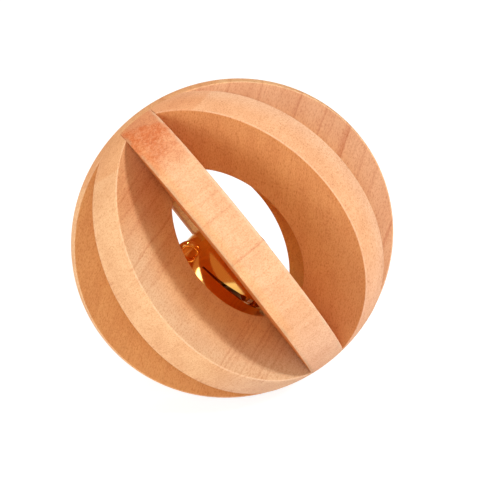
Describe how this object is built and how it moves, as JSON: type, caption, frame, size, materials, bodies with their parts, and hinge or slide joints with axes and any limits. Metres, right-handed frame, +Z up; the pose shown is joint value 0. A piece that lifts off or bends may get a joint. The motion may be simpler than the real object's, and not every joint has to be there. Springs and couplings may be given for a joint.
{
  "type": "wooden pet toy ball",
  "caption": "Openwork wooden ball of crossed rings with a loose metal jingle bell inside.",
  "frame": {"origin": "centre of the ball", "axes": "+Z up; the common axis of the rings lies in the XZ plane and leans 39 degrees from +Z towards -X; -Z points through the lowest gap between two rings to the spot the ball lies on"},
  "size_m": [0.0582, 0.0578, 0.0581],
  "materials": {
    "wood": "sanded bare beech",
    "bell_metal": "polished gold-coloured plating",
    "pellet_steel": "plain steel"
  },
  "bodies": {
    "root": {"full_ring": "wood", "half_ring_front": "wood", "half_ring_back": "wood", "corner_half_front_right": "wood", "corner_half_front_left": "wood", "corner_half_back_right": "wood", "corner_half_back_left": "wood", "bell_shell": "bell_metal", "bell_loop": "bell_metal", "bell_pellet": "pellet_steel"}
  },
  "joints": []
}
